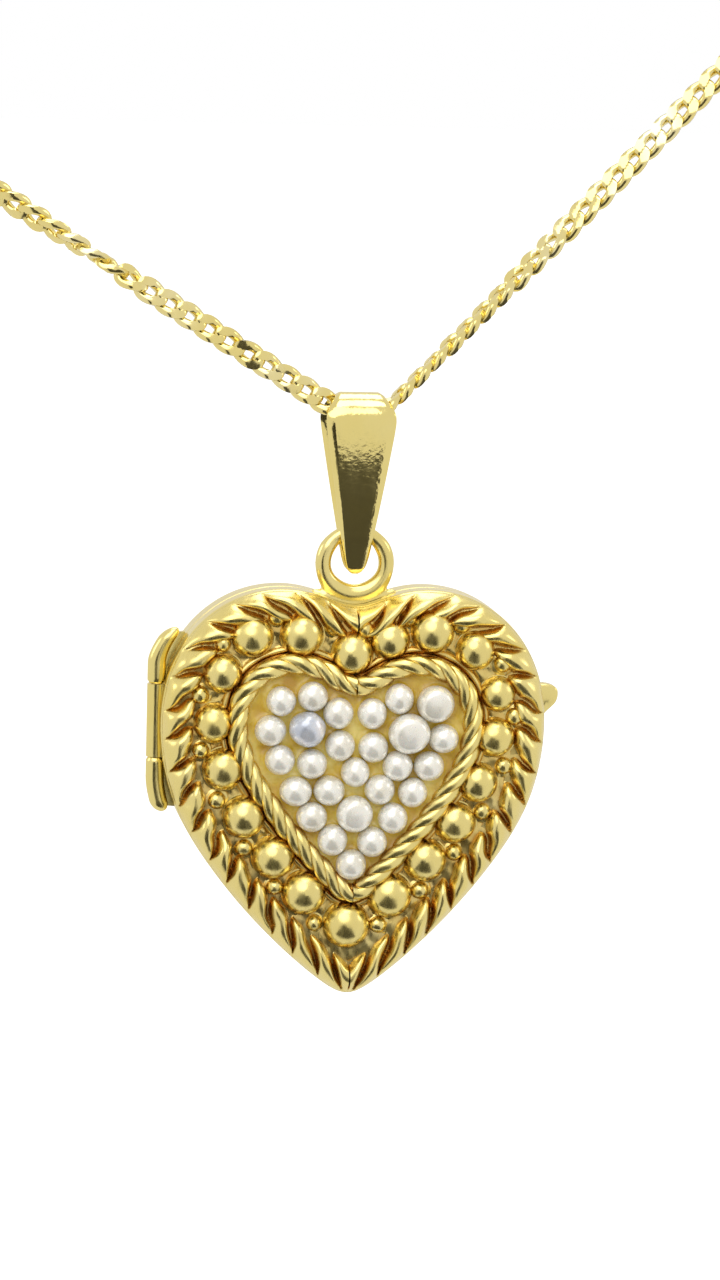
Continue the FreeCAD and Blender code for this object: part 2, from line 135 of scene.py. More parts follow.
class Builder:
    """Collects the points and faces of several closed forms into one mesh."""

    def __init__(self):
        self.verts = []
        self.faces = []

    def add(self, verts, faces):
        start = len(self.verts)
        self.verts.extend(np.asarray(verts, float).tolist())
        self.faces.extend(tuple(start + i for i in f) for f in faces)


def around_circle(count):
    """The angles of that many points round a full circle."""
    return np.linspace(0, 2 * math.pi, count, endpoint=False)


def distances(line):
    """How far along a line of points each of its points lies."""
    return np.concatenate([[0], np.cumsum(np.linalg.norm(np.diff(line, axis=0), axis=1))])


def bumps(points, scale, seed):
    """Smooth noise from -1 to 1 at each point, with features about scale millimetres across."""
    shift = Vector((seed * 7.3, seed * 3.1, seed * 5.7))
    return np.array([noise.noise(Vector(p) / scale + shift) for p in points])


def smooth_step(value, low, high):
    """0 below low, 1 above high, and a smooth rise between them."""
    t = np.clip((np.asarray(value, float) - low) / (high - low), 0, 1)
    return t * t * (3 - 2 * t)


# ---------------------------------------------------------------- heart outlines

# Right halves of the locket's edge and of the twisted border's middle, as in the CAD source.
BODY_HALF = [
    (0.0, 6.9), (1.9, 7.45), (4.0, 7.8), (6.3, 7.35), (8.3, 6.05), (9.7, 4.1), (10.35, 1.9),
    (10.4, -0.6), (9.55, -4.1), (7.8, -7.1), (5.3, -10.15), (2.7, -12.65), (1.3, -13.75),
    (0.5, -14.2), (0.0, -14.3),
]
ROPE_HALF = [
    (0.0, 2.7), (1.7, 3.45), (3.7, 3.85), (5.5, 3.0), (6.35, 1.2), (6.1, -1.0), (4.9, -3.3),
    (2.9, -5.9), (1.0, -7.95), (0.0, -8.6),
]
HALF_STEPS = 240
SPLINE_STEPS = 1600


def spline(points, count):
    """A smooth curve through the points that leaves and arrives level, with its directions."""
    points = np.asarray(points, float)
    gaps = np.linalg.norm(np.diff(points, axis=0), axis=1)
    at = np.concatenate([[0], np.cumsum(gaps)])
    n = len(points)
    system = np.zeros((n, n))
    target = np.zeros((n, 2))
    system[0, 0] = system[-1, -1] = 1
    target[0], target[-1] = (1, 0), (-1, 0)
    for i in range(1, n - 1):
        before, after = gaps[i - 1], gaps[i]
        system[i, i - 1:i + 2] = after, 2 * (before + after), before
        target[i] = 3 * (before * (points[i + 1] - points[i]) / after
                         + after * (points[i] - points[i - 1]) / before)
    slopes = np.linalg.solve(system, target)
    u = np.linspace(0, at[-1], count)
    k = np.clip(np.searchsorted(at, u, side="right") - 1, 0, n - 2)
    h = gaps[k][:, None]
    t = ((u - at[k]) / gaps[k])[:, None]
    p0, p1, m0, m1 = points[k], points[k + 1], slopes[k] * h, slopes[k + 1] * h
    place = ((2 * t**3 - 3 * t**2 + 1) * p0 + (t**3 - 2 * t**2 + t) * m0
             + (3 * t**2 - 2 * t**3) * p1 + (t**3 - t**2) * m1)
    slope = ((6 * t**2 - 6 * t) * p0 + (3 * t**2 - 4 * t + 1) * m0
             + (6 * t - 6 * t**2) * p1 + (3 * t**2 - 2 * t) * m1)
    return place, slope / np.linalg.norm(slope, axis=1)[:, None]


def evenly(line, count):
    """The line with that many points at even spacing along it."""
    along = distances(line)
    want = np.linspace(0, along[-1], count)
    return np.stack([np.interp(want, along, line[:, i]) for i in range(line.shape[1])], axis=1)


def half_line(points, inset, count):
    """The right half of a heart, moved inwards, from the notch to the tip."""
    place, way = spline(points, SPLINE_STEPS)
    moved = place + inset * np.stack([way[:, 1], -way[:, 0]], axis=1)
    middle = SPLINE_STEPS // 2
    inside = moved[:, 0] > 0
    first, last = 0, SPLINE_STEPS - 1
    if not inside[:middle].all():
        first = middle - np.argmin(inside[:middle][::-1])
    if not inside[middle:].all():
        last = middle + np.argmin(inside[middle:])
    kept = moved[first:last]
    kept = np.concatenate([[[0.0, kept[0, 1]]], kept, [[0.0, kept[-1, 1]]]])
    return evenly(kept, count)


def heart_loop(points, inset, steps=HALF_STEPS):
    """A closed heart of 2 x steps points, from the notch round the right side and back."""
    right = half_line(points, inset, steps + 1)
    left = right[1:-1][::-1] * (-1, 1)
    return np.concatenate([right, left])


def loop_at(loop, depth):
    """A flat loop (x, z) at a depth along Y, or at a depth for each point."""
    return np.stack([loop[:, 0], np.broadcast_to(depth, len(loop)), loop[:, 1]], axis=1)


def shrink(loop, middle, share):
    """A loop drawn in towards a middle point to that share of its size."""
    return np.asarray(middle) + (loop - np.asarray(middle)) * share


HEART_MIDDLE = (0.0, -1.5)
CLOSING = (0.85, 0.6, 0.35, 0.12)


def close_up(rings, loop, depth):
    """Carries a flat face in from a loop to the middle, ring by ring."""
    for share in CLOSING:
        rings.append(loop_at(shrink(loop, HEART_MIDDLE, share), depth))


def ring_stack(rings):
    """Faces between successive rings of equal length, with both ends closed by a fan."""
    count = len(rings[0])
    verts = np.concatenate(rings)
    faces = grid_faces(len(rings), count, wrap_columns=True)
    for ring in (0, len(rings) - 1):
        centre = len(verts)
        verts = np.concatenate([verts, [rings[ring].mean(axis=0)]])
        base = ring * count
        faces += [(base + j, base + (j + 1) % count, centre) for j in range(count)]
    return verts, faces


# ---------------------------------------------------------------- materials

GOLD = (0.88, 0.735, 0.28)
GOLD_PALE = (0.89, 0.75, 0.31)
GOLD_DEEP = (0.87, 0.715, 0.255)
GOLD_GLINT = (0.92, 0.82, 0.46)
CHANNEL_GOLDS = ((0.84, 0.64, 0.21), (0.88, 0.71, 0.26), (0.9, 0.76, 0.33))
CREAMS = ((0.78, 0.74, 0.63), (0.88, 0.855, 0.78), (0.92, 0.905, 0.85))
BLUE_GREYS = ((0.36, 0.4, 0.5), (0.6, 0.63, 0.7), (0.85, 0.8, 0.78))
AMBERS = ((0.54, 0.31, 0.02), (0.74, 0.52, 0.06), (0.88, 0.73, 0.22))
HAZES = ((0.93, 0.95, 0.95), (0.98, 0.99, 0.99))
STEELS = ((0.45, 0.4, 0.3), (0.68, 0.63, 0.5))

# Texture scales are in features per metre, and depths and reaches in millimetres.
GOLD_CLOUDS = 350.0
GOLD_SCRATCHES = 4000.0
SCRATCH_STRETCH = (1, 1, 0.25)
SCRATCH_ROUGHNESS = (0.7, 1.4)
GOLD_WAVE_DEPTH = 0.12
# Colour mixed into the hollows: partly the metal's patina, partly painted shade.
PATINA_AND_SHADE = (0.5, 0.235, 0.035)
PATINA_AND_SHADE_REACH = 0.6
# Openness at which the patina and the painted shade in hollows start, and at which they are full.
PATINA_AND_SHADE_OPEN, PATINA_AND_SHADE_DEEP = 0.85, 0.35
BLOTCHES = 700.0
# Places of the colours along a noise's range.
THIRDS = (0.3, 0.5, 0.7)
ENDS = (0.3, 0.7)


def set_inputs(node, values):
    for name, value in values.items():
        node.inputs[name].default_value = value


class Finish:
    """A material in the making: its shader, with textures that stay fixed to the piece."""

    def __init__(self, name):
        self.material = bpy.data.materials.new(name)
        self.material.use_nodes = True
        self.nodes = self.material.node_tree.nodes
        self.join = self.material.node_tree.links.new
        self.shader = self.nodes["Principled BSDF"]
        self.where = self.nodes.new("ShaderNodeTexCoord").outputs["Object"]

    def noise(self, scale, detail=3.0, stretch=None):
        texture = self.nodes.new("ShaderNodeTexNoise")
        set_inputs(texture, {"Scale": scale, "Detail": detail})
        where = self.where
        if stretch:
            mapping = self.nodes.new("ShaderNodeMapping")
            set_inputs(mapping, {"Scale": stretch})
            self.join(where, mapping.inputs["Vector"])
            where = mapping.outputs["Vector"]
        self.join(where, texture.inputs["Vector"])
        return texture.outputs["Fac"]

    def ramp(self, source, colours, places=THIRDS):
        made = self.nodes.new("ShaderNodeValToRGB")
        while len(made.color_ramp.elements) < len(colours):
            made.color_ramp.elements.new(0.5)
        for element, place, colour in zip(made.color_ramp.elements, places, colours):
            element.position = place
            element.color = (*colour, 1)
        self.join(source, made.inputs["Fac"])
        return made.outputs["Color"]

    def spread(self, source, old_range, new_range):
        made = self.nodes.new("ShaderNodeMapRange")
        set_inputs(made, {"From Min": old_range[0], "From Max": old_range[1],
                          "To Min": new_range[0], "To Max": new_range[1]})
        self.join(source, made.inputs["Value"])
        return made.outputs["Result"]

    def patina_and_shade(self, colour, amount):
        """Mixes the patina's colour in where the piece is hollow: the metal's patina, and painted
        shade where the hollows fall into shadow.
        """
        # Occlusion picks out the hollows, where the patina colour also paints in shade.
        hollow = self.nodes.new("ShaderNodeAmbientOcclusion")
        hollow.inputs["Distance"].default_value = PATINA_AND_SHADE_REACH * MM
        hollow.samples = 6
        darker = self.nodes.new("ShaderNodeMix")
        darker.data_type = "RGBA"
        darker.inputs["B"].default_value = (*PATINA_AND_SHADE, 1)
        share = self.spread(hollow.outputs["AO"], (PATINA_AND_SHADE_OPEN, PATINA_AND_SHADE_DEEP), (0.0, amount))
        self.join(share, darker.inputs["Factor"])
        self.join(colour, darker.inputs["A"])
        return darker.outputs["Result"]

    def paint(self, colour):
        self.join(colour, self.shader.inputs["Base Color"])

    def roughen(self, source, low, high):
        self.join(self.spread(source, ENDS, (low, high)), self.shader.inputs["Roughness"])

    def bump(self, source, strength, depth):
        made = self.nodes.new("ShaderNodeBump")
        set_inputs(made, {"Strength": strength, "Distance": depth * MM})
        self.join(source, made.inputs["Height"])
        self.join(made.outputs["Normal"], self.shader.inputs["Normal"])


def gold_material(name, roughness, waviness, patina_and_shade=0.0, colours=(GOLD_DEEP, GOLD, GOLD_PALE),
                  waves=900.0):
    """Polished gold with faint hand-polishing waves, fine scratches, and a patina with painted
    shade in its hollows.
    """
    finish = Finish(name)
    set_inputs(finish.shader, {"Metallic": 1.0})
    colour = finish.ramp(finish.noise(GOLD_CLOUDS), colours)
    finish.paint(finish.patina_and_shade(colour, patina_and_shade) if patina_and_shade else colour)
    scratches = finish.noise(GOLD_SCRATCHES, stretch=SCRATCH_STRETCH)
    finish.roughen(scratches, *(roughness * share for share in SCRATCH_ROUGHNESS))
    finish.bump(finish.noise(waves, detail=2.0), waviness, GOLD_WAVE_DEPTH)
    return finish.material


def pearl_material(name, colours):
    """Nacre: milky, with soft blotches, a thin clear gloss and a faint sheen."""
    finish = Finish(name)
    blotch = finish.noise(BLOTCHES, detail=4.0)
    finish.paint(finish.ramp(blotch, colours, places=(0.3, 0.5, 0.72)))
    finish.roughen(finish.noise(3000.0), 0.2, 0.34)
    set_inputs(finish.shader, {
        "Specular IOR Level": 0.75,
        "IOR": 1.6,
        "Subsurface Weight": 0.35,
        "Subsurface Radius": (1.0, 0.85, 0.7),
        "Subsurface Scale": 0.35 * MM,
        "Coat Weight": 0.6,
        "Coat Roughness": 0.08,
        "Sheen Weight": 0.1,
        "Sheen Roughness": 0.4,
        "Metallic": 0.4,
    })
    finish.bump(blotch, 0.12, 0.05)
    return finish.material


def cement_material():
    """Translucent amber cement that holds the pearls."""
    finish = Finish("amber_cement")
    blotch = finish.noise(BLOTCHES, detail=4.0)
    finish.paint(finish.ramp(blotch, AMBERS))
    finish.roughen(finish.noise(2500.0), 0.18, 0.4)
    set_inputs(finish.shader, {
        "Subsurface Weight": 0.15,
        "Subsurface Radius": (1.0, 0.6, 0.2),
        "Subsurface Scale": 0.4 * MM,
        "Coat Weight": 0.5,
        "Coat Roughness": 0.12,
    })
    finish.bump(blotch, 0.6, 0.12)
    return finish.material


def window_material():
    """Thin clear film, a little hazy and scratched."""
    finish = Finish("clear_window")
    haze = finish.noise(900.0, detail=5.0, stretch=(1, 1, 0.2))
    finish.paint(finish.ramp(haze, HAZES, places=ENDS))
    finish.roughen(haze, 0.03, 0.16)
    set_inputs(finish.shader, {"Transmission Weight": 0.92, "IOR": 1.49})
    finish.bump(haze, 0.02, 0.02)
    return finish.material


def steel_material():
    """Drawn steel wire, with fine lines along it."""
    finish = Finish("hinge_steel")
    set_inputs(finish.shader, {"Metallic": 1.0})
    drawn = finish.noise(2500.0, stretch=(1, 1, 0.1))
    finish.paint(finish.ramp(drawn, STEELS, places=ENDS))
    finish.roughen(drawn, 0.18, 0.34)
    finish.bump(drawn, 0.2, 0.03)
    return finish.material


POLISHED = gold_material("polished_gold", 0.2, 0.07)
BRIGHT = gold_material("bright_gold", 0.1, 0.09, waves=3500.0)
# The cast, channel and bead golds darken in their hollows: patina plus painted shade.
CAST = gold_material("cast_gold", 0.26, 0.14, patina_and_shade=0.75)
FLOOR_GOLD = gold_material("channel_gold", 0.27, 0.5, patina_and_shade=0.7, colours=CHANNEL_GOLDS)
BEAD_GOLD = gold_material("bead_gold", 0.25, 0.05, patina_and_shade=0.3)
CHAIN_GOLD = gold_material("chain_gold", 0.16, 0.1, colours=(GOLD, GOLD_PALE, GOLD_GLINT))
WHITE = pearl_material("white_pearl", CREAMS)
GREY = pearl_material("grey_pearl", BLUE_GREYS)
CEMENT = cement_material()
WINDOW = window_material()
STEEL = steel_material()

# ---------------------------------------------------------------- chain

CHAIN_ROUTE = [
    (-21.4, 29.8), (-14.2, 25.3), (-6.8, 20.77), (-3.2, 18.6), (-1.35, 17.5), (0.0, 17.05),
    (1.4, 17.35), (3.0, 18.95), (6.0, 22.05), (11.0, 27.25), (16.3, 32.8), (21.1, 37.85),
]
LINK_PITCH = 1.24
LINK_HALF_LENGTH = 0.755
LINK_HALF_WIDTH = 0.435
LINK_WIRE = 0.27
LINK_TWIST = -0.2
# Shares of the wire and of the twist that are left above the ground flats of a link.
LINK_FLAT = 0.8
TWIST_LEFT = 0.35
LINK_AROUND = 28
LINK_SECTION = 8
# How far the flat of the chain is turned away from the viewer, in degrees, along X.
CHAIN_TURN = [
    (-22, 150), (-17, 138), (-14.6, 104), (-13, 66), (-11.2, 14), (-6.6, 8), (-5.9, -8),
    (-5.2, 8), (-3, 6), (-1.2, 30), (0.6, 70), (2.0, 88), (7.0, 78), (10.5, 46), (14, 22),
    (22, 28),
]
TURN_PLAY = 3
HEADING_REACH = 0.3


def route_line():
    """Points read along the smooth spline whose control points are the chain's route."""
    curve = bpy.data.curves.new("chain_line", "CURVE")
    curve.dimensions = "3D"
    curve.resolution_u = 24
    line = curve.splines.new("NURBS")
    line.points.add(len(CHAIN_ROUTE) - 1)
    for point, (x, z) in zip(line.points, CHAIN_ROUTE):
        point.co = (*to_row((x, 0, z)), 1)
    line.order_u = 3
    line.use_endpoint_u = True
    carrier = bpy.data.objects.new("chain_line", curve)
    mesh = bpy.data.meshes.new_from_object(carrier)
    read = np.array([v.co for v in mesh.vertices])
    bpy.data.objects.remove(carrier)
    bpy.data.meshes.remove(mesh)
    return read


def link_shape():
    """One curb link about its own middle: long way X, flat face -Y, before it is placed."""
    turns = around_circle(LINK_AROUND)
    line = np.stack([LINK_HALF_LENGTH * np.cos(turns), -LINK_TWIST * np.sin(2 * turns),
                     LINK_HALF_WIDTH * np.sin(turns)], axis=1)
    ahead = np.roll(line, -1, axis=0) - np.roll(line, 1, axis=0)
    ahead /= np.linalg.norm(ahead, axis=1)[:, None]
    side = np.cross(ahead, FRONT)
    side /= np.linalg.norm(side, axis=1)[:, None]
    up = np.cross(side, ahead)
    wires = []
    for k in range(LINK_SECTION):
        angle = 2 * math.pi * (k + 0.5) / LINK_SECTION
        wires.append(line + LINK_WIRE * (math.cos(angle) * side + math.sin(angle) * up))
    verts = np.stack(wires, axis=1).reshape(-1, 3)
    height = LINK_WIRE * LINK_FLAT + abs(LINK_TWIST) * TWIST_LEFT
    verts[:, 1] = np.clip(verts[:, 1], -height, height)
    return verts, grid_faces(LINK_AROUND, LINK_SECTION, wrap_rows=True, wrap_columns=True)


def make_chain():
    """Curb links along the route, turned with the chain's own twist."""
    read = route_line()
    places = from_row(read)
    along = distances(places)
    length = along[-1]
    count = int(round((length - 2 * LINK_HALF_LENGTH) / LINK_PITCH)) + 1
    verts, faces = link_shape()
    built = Builder()
    random = np.random.default_rng(4)

    def place_at(s):
        return np.array([np.interp(s, along, places[:, i]) for i in range(3)])

    for s in np.linspace(LINK_HALF_LENGTH, length - LINK_HALF_LENGTH, count):
        middle = place_at(s)
        ahead = place_at(s + HEADING_REACH) - place_at(s - HEADING_REACH)
        ahead /= np.linalg.norm(ahead)
        turn = np.interp(middle[0], *zip(*CHAIN_TURN)) + random.normal(0, TURN_PLAY)
        turn = math.radians(turn)
        flat = math.cos(turn) * FRONT + math.sin(turn) * np.cross(FRONT, ahead)
        axes = np.stack([ahead, -flat, np.cross(ahead, -flat)])
        built.add(middle + verts @ axes, faces)
    chain = add_object("curb_chain", built.verts, built.faces, "chain", CHAIN_GOLD)
    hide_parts("chain")


make_chain()

# ---------------------------------------------------------------- shells

WALL = 0.6
SEAM = 0.02
# Inset of the fine break on each shell's mating edge.
EDGE_BREAK = 0.06
COVER_FACE = -1.65
COVER_CAVITY = -0.85
COVER_SIDES = (-0.07, -0.3, -0.6, -0.9)
TRAY_FLOOR = -1.25
SHOULDER = 0.5
SHOULDER_RINGS = 9
BORDER_INNER = 1.85
ROPE_HALF_WIDTH = 0.5
BACK_WALL = 1.45
BACK_DEPTH = 2.5
BACK_CAVITY = 1.1
BACK_SIDES = (0.07, 0.4, 0.8, 1.2)
BACK_ROUNDING = 2.6
BACK_RINGS = 14
HINGE_X = -10.6
HINGE_LOW, HINGE_HIGH = -4.54, 5.54
HINGE_CLEAR = 0.57
# Where the hanging ring's foot passes the cover.
FOOT_HALF_WIDTH = 1.56
FOOT_LOW = 6.2
FOOT_FRONT = -0.47
# The channel's lumps, as feature size, seed and height.
CHANNEL_LUMPS = ((1.1, 2, 0.15), (0.45, 3, 0.09))
CHANNEL_RINGS = 13
CHANNEL_RISE = 0.02
CHANNEL_TOP = 0.3
COLLAR_REACH = 0.55
# The collar round the twisted border, as distance out from it and rise above the face.
COLLAR = ((0.46, 0.0), (0.4, 0.1), (0.3, 0.19), (0.2, 0.2), (0.1, 0.12), (0.03, 0.0))


def clear_hinge(verts):
    """Hollows a shell round the hinge's barrel."""
    away = verts[:, :2] - (HINGE_X, 0)
    reach = np.linalg.norm(away, axis=1)
    near = (reach < HINGE_CLEAR) & (verts[:, 2] > HINGE_LOW) & (verts[:, 2] < HINGE_HIGH)
    verts[near, :2] = np.array((HINGE_X, 0)) + away[near] / reach[near, None] * HINGE_CLEAR
    return verts


def shoulder(inset):
    """Depth of the cover's rounded edge, and of its face, at an inset from the outline."""
    rest = np.clip(SHOULDER - np.asarray(inset, float), 0, SHOULDER)
    return COVER_FACE + SHOULDER - np.sqrt(SHOULDER**2 - rest**2)


def shell_rings(cavity, middle, seam, sides):
    """Rings from the middle of a shell's cavity, over its mating edge and up its side."""
    edge = heart_loop(BODY_HALF, 0)
    inner = heart_loop(BODY_HALF, WALL)
    rings = []
    close_up(rings, inner, cavity)
    rings.reverse()
    rings += [loop_at(inner, depth) for depth in (cavity, middle, seam)]
    rings.append(loop_at(heart_loop(BODY_HALF, EDGE_BREAK), seam))
    return rings + [loop_at(edge, depth) for depth in sides]


def make_front_cover():
    """The cover's shell, with its lumpy channel, its collar and the tray for the pearls."""
    rings = shell_rings(COVER_CAVITY, -0.4, -SEAM, COVER_SIDES)
    for angle in np.linspace(0, math.pi / 2, SHOULDER_RINGS):
        inset = SHOULDER * (1 - math.cos(angle))
        rings.append(loop_at(heart_loop(BODY_HALF, inset), float(shoulder(inset))))
    channel_from = (len(rings) - 1) * len(rings[0])
    outer = heart_loop(BODY_HALF, BORDER_INNER - 0.1)
    collar = heart_loop(ROPE_HALF, -ROPE_HALF_WIDTH - COLLAR_REACH)
    for share in np.linspace(0, 1, CHANNEL_RINGS):
        ring = loop_at(outer * (1 - share) + collar * share, COVER_FACE)
        rough = sum(bumps(ring, size, seed) * height for size, seed, height in CHANNEL_LUMPS)
        ring[:, 1] -= rough + CHANNEL_RISE
        rings.append(ring)
    for out, rise in COLLAR:
        ring = loop_at(heart_loop(ROPE_HALF, -ROPE_HALF_WIDTH - out), COVER_FACE - rise)
        ring[:, 1] -= bumps(ring, 1.2, 5) * 0.03
        rings.append(ring)
    lip = heart_loop(ROPE_HALF, ROPE_HALF_WIDTH + SEAM)
    rings += [loop_at(lip, COVER_FACE), loop_at(lip, TRAY_FLOOR)]
    close_up(rings, lip, TRAY_FLOOR)
    verts, faces = ring_stack(rings)
    at_foot = (np.abs(verts[:, 0]) < FOOT_HALF_WIDTH) & (verts[:, 2] > FOOT_LOW)
    verts[at_foot, 1] = np.minimum(verts[at_foot, 1], FOOT_FRONT)
    cover = add_object("cover_shell", clear_hinge(verts), faces, "locket_cover", POLISHED)
    cover.data.materials.append(FLOOR_GOLD)
    for polygon in cover.data.polygons[channel_from:]:
        polygon.material_index = int(polygon.center.y < (COVER_FACE + CHANNEL_TOP) * MM)
    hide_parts("front_cover")


def make_back_shell():
    """The plain back, rounded over from its side wall to a flat middle."""
    rings = shell_rings(BACK_CAVITY, 0.5, SEAM, BACK_SIDES)
    rise = BACK_DEPTH - BACK_WALL
    for angle in np.linspace(0, math.pi / 2, BACK_RINGS):
        inset = BACK_ROUNDING * (1 - math.cos(angle) ** 0.85)
        depth = BACK_WALL + rise * math.sin(angle) ** 0.9
        rings.append(loop_at(heart_loop(BODY_HALF, inset), depth))
    close_up(rings, heart_loop(BODY_HALF, BACK_ROUNDING), BACK_DEPTH)
    verts, faces = ring_stack(rings)
    shell = add_object("back_shell_skin", clear_hinge(verts), faces, "locket_back", POLISHED)
    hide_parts("back_shell")


# ---------------------------------------------------------------- cast leaf border

LEAVES = 19
LEAF_SWEEP = 1.05
LEAF_SKEW = 0.12
LEAF_RISE = 0.74
LEAF_STEPS = 760
LEAF_RINGS = 30
LEAF_START = 0.08
LEAF_TOP_INSET = 0.95
LEAF_END = 1.72
LEAF_NARROWS = 1.1
BORDER_ROOT = -1.1
BORDER_OUTER = 0.06
BORDER_GAP = 0.012
# How much of a leaf's height is left at the notch and the tip, where the two sides meet.
SEAM_SHARE = 0.4


def half_length(points):
    """The length of a heart's right half."""
    place = spline(points, SPLINE_STEPS)[0]
    return np.linalg.norm(np.diff(place, axis=0), axis=1).sum()


def leaf_crest(inset):
    """A leaf's height along its own length, as a share of its highest point."""
    if inset < LEAF_TOP_INSET:
        climb = max(inset - LEAF_START, 0)
        return math.sin(math.pi / 2 * climb / (LEAF_TOP_INSET - LEAF_START)) ** 0.8
    fall = (inset - LEAF_TOP_INSET) / (LEAF_END - LEAF_TOP_INSET)
    return math.sqrt(max(0.0, 1 - fall ** 2.6))


def leaf_height(along, inset, length, phase):
    """How far the cast leaves stand above the border's floor, along a half heart."""
    wander = 0.1 * np.sin(along * 2.1 + 0.7) + 0.07 * np.sin(along * 4.3 + phase)
    place = (along + LEAF_SWEEP * inset + wander) / (length / LEAVES)
    index = np.floor(place)
    across = (place - index - 0.5) * 2
    spaced = 0.93 + 0.07 * smooth_step(along, 9, 16)
    opening = 1.02 - 0.08 * smooth_step(inset, 0.3, 0.8)
    ending = math.sqrt(max(0.04, 1 - (max(inset - LEAF_NARROWS, 0) / 0.72) ** 2))
    width = spaced * opening * ending
    body = np.clip(1 - np.abs((across - LEAF_SKEW) / width) ** 2.4, 0, 1) ** 0.8
    lively = 1 + 0.1 * np.sin(index * 12.9898 + phase * 5)
    return LEAF_RISE * leaf_crest(inset) * body * lively


def make_leaf_border():
    """The ring of slanting leaves round the cover's edge."""
    length = half_length(BODY_HALF)
    along_half = np.linspace(0, length, LEAF_STEPS + 1)
    rings = [loop_at(heart_loop(BODY_HALF, inset, LEAF_STEPS), BORDER_ROOT) for inset in (0.4, 0.1)]
    last = LEAF_END + BORDER_OUTER
    for inset in np.linspace(BORDER_OUTER, last, LEAF_RINGS):
        right = leaf_height(along_half, inset, length, 0.4)
        left = leaf_height(along_half, inset, length, 1.9)[1:-1][::-1]
        right[[0, -1]] *= SEAM_SHARE
        rise = np.concatenate([right, left])
        loop = heart_loop(BODY_HALF, inset, LEAF_STEPS)
        ring = loop_at(loop, float(shoulder(inset)) - BORDER_GAP - rise)
        ring[:, 1] -= bumps(ring, 0.7, 8) * 0.02
        rings.append(ring)
    rings.append(loop_at(heart_loop(BODY_HALF, last, LEAF_STEPS), -1.2))
    verts = np.concatenate(rings)
    faces = grid_faces(len(rings), len(rings[0]), wrap_rows=True, wrap_columns=True)
    border = add_object("cast_leaf_border", verts, faces, "locket_cover", CAST)
    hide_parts("leaf_border")


# ---------------------------------------------------------------- twisted border

ROPE_DEPTH = -2.12
ROPE_TURNS = 12
STRANDS = 3
STRAND_OFFSET = 0.23
STRAND_RADIUS = (0.35, 0.37)
STRAND_AROUND = 16
STRAND_WEAR = 0.08
ROPE_STEPS = 430


def make_rope_border():
    """Strands wound round the inner heart, in opposite ways on its two sides."""
    loop = heart_loop(ROPE_HALF, 0, ROPE_STEPS)
    ahead = np.roll(loop, -1, axis=0) - np.roll(loop, 1, axis=0)
    ahead /= np.linalg.norm(ahead, axis=1)[:, None]
    out = np.stack([-ahead[:, 1], np.zeros(len(loop)), ahead[:, 0]], axis=1)
    middle = loop_at(loop, ROPE_DEPTH)
    gaps = np.linalg.norm(np.roll(loop, -1, axis=0) - loop, axis=1)
    share = np.concatenate([[0], np.cumsum(gaps)[:-1]]) / gaps.sum()
    turn = 2 * math.pi * ROPE_TURNS * np.where(share > 0.5, 1 - share, share)
    heading = np.where(share > 0.5, -1.0, 1.0)[:, None]
    built = Builder()
    for strand in around_circle(STRANDS):
        cosine = np.cos(turn + strand)[:, None]
        sine = np.sin(turn + strand)[:, None]
        radial = cosine * out * heading + sine * FRONT
        cross = -sine * out * heading + cosine * FRONT
        centre = middle + STRAND_OFFSET * radial
        wear = (1 + STRAND_WEAR * np.sin(share * 61 + strand))[:, None]
        skin = [centre + wear * (STRAND_RADIUS[0] * math.cos(angle) * radial
                                 + STRAND_RADIUS[1] * math.sin(angle) * cross)
                for angle in around_circle(STRAND_AROUND)]
        verts = np.stack(skin, axis=1).reshape(-1, 3)
        built.add(verts, grid_faces(len(loop), STRAND_AROUND, wrap_rows=True, wrap_columns=True))
    rope = add_object("twisted_border", built.verts, built.faces, "locket_cover", CAST)
    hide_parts("rope_border")


# ---------------------------------------------------------------- beads

DOME_RINGS = 12
DOME_AROUND = 36
DOME_FIRST_ANGLE = 0.12
# A dome's soft foot, as the share of its spread and the height at that place.
DOME_FOOT = ((0.3, 0.0), (0.8, -0.01), (1.0, -0.06), (1.0, -0.25))
BEAD_SINK = 0.03
SAME_POINT = 1e-7


def separate_solids(node):
    """The middle and half size of each separate solid in a CAD node, in millimetres."""
    work = bmesh.new()
    work.from_mesh(NODES[node].data)
    bmesh.ops.remove_doubles(work, verts=work.verts, dist=SAME_POINT)
    waiting = set(work.verts)
    found = []
    while waiting:
        group, front = [], [waiting.pop()]
        while front:
            vert = front.pop()
            group.append(vert.co)
            for edge in vert.link_edges:
                other = edge.other_vert(vert)
                if other in waiting:
                    waiting.remove(other)
                    front.append(other)
        points = np.array([from_row(co) for co in group])
        low, high = points.min(axis=0), points.max(axis=0)
        found.append(((low + high) / 2, (high - low) / 2))
    work.free()
    return sorted(found, key=lambda item: tuple(item[0]))


def dome(radius, foot):
    """A bead's dome with a soft foot, about the point below it on the cover's face."""
    angles = np.linspace(DOME_FIRST_ANGLE, math.pi / 2, DOME_RINGS)[:-1]
    profile = [(radius * math.sin(a), radius * math.cos(a)) for a in angles]
    profile.append((radius, radius * 0.07))
    profile += [(radius * (1 + share * foot), height) for share, height in DOME_FOOT]
    turns = around_circle(DOME_AROUND)
    rings = [np.stack([reach * np.cos(turns), np.full(DOME_AROUND, -rise), reach * np.sin(turns)],
                      axis=1) for reach, rise in profile]
    verts, faces = ring_stack(rings)
    # The first cap's middle is the dome's top.
    verts[-2, 1] = -radius
    return verts, faces


